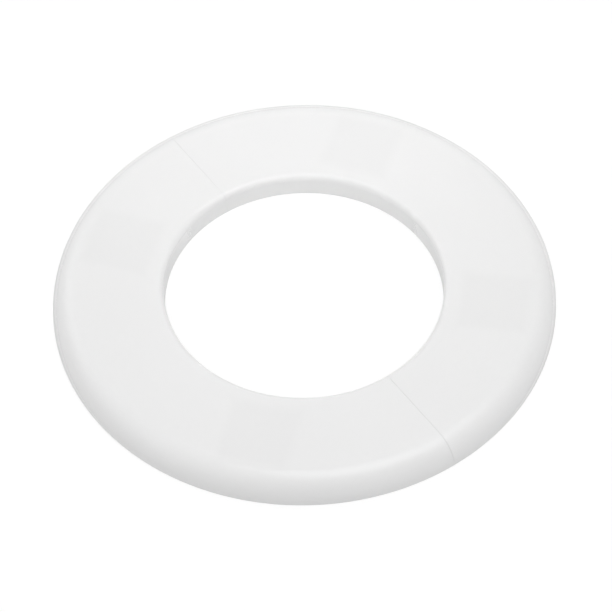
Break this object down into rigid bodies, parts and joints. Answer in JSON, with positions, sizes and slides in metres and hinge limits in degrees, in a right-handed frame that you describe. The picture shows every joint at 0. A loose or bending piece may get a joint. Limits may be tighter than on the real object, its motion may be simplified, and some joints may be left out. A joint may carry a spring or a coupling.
{
  "type": "split escutcheon plate",
  "caption": "Flat round white plastic ring, split into half-rings that push together round a pipe and hide the hole where it passes through a wall, floor or ceiling.",
  "frame": {"origin": "middle of the bore, on the wall plane that the back of the plate rests on", "axes": "+Z out of the wall along the pipe, +Y along the seam between the halves, +X towards the right half"},
  "size_m": [0.11, 0.11, 0.0055],
  "materials": {
    "white_plastic": "smooth moulded white, satin gloss",
    "foam_tape": "fine closed-cell foam, matt off-white"
  },
  "bodies": {
    "left": {"left_half": "white_plastic", "left_upper_tape": "foam_tape", "left_lower_tape": "foam_tape"},
    "right": {"right_half": "white_plastic", "right_upper_tape": "foam_tape", "right_lower_tape": "foam_tape"}
  },
  "joints": [
    {"name": "pull_apart", "type": "slide", "parent": "left", "child": "right", "axis": [1, 0, 0], "range_m": [0, 0.075]}
  ]
}
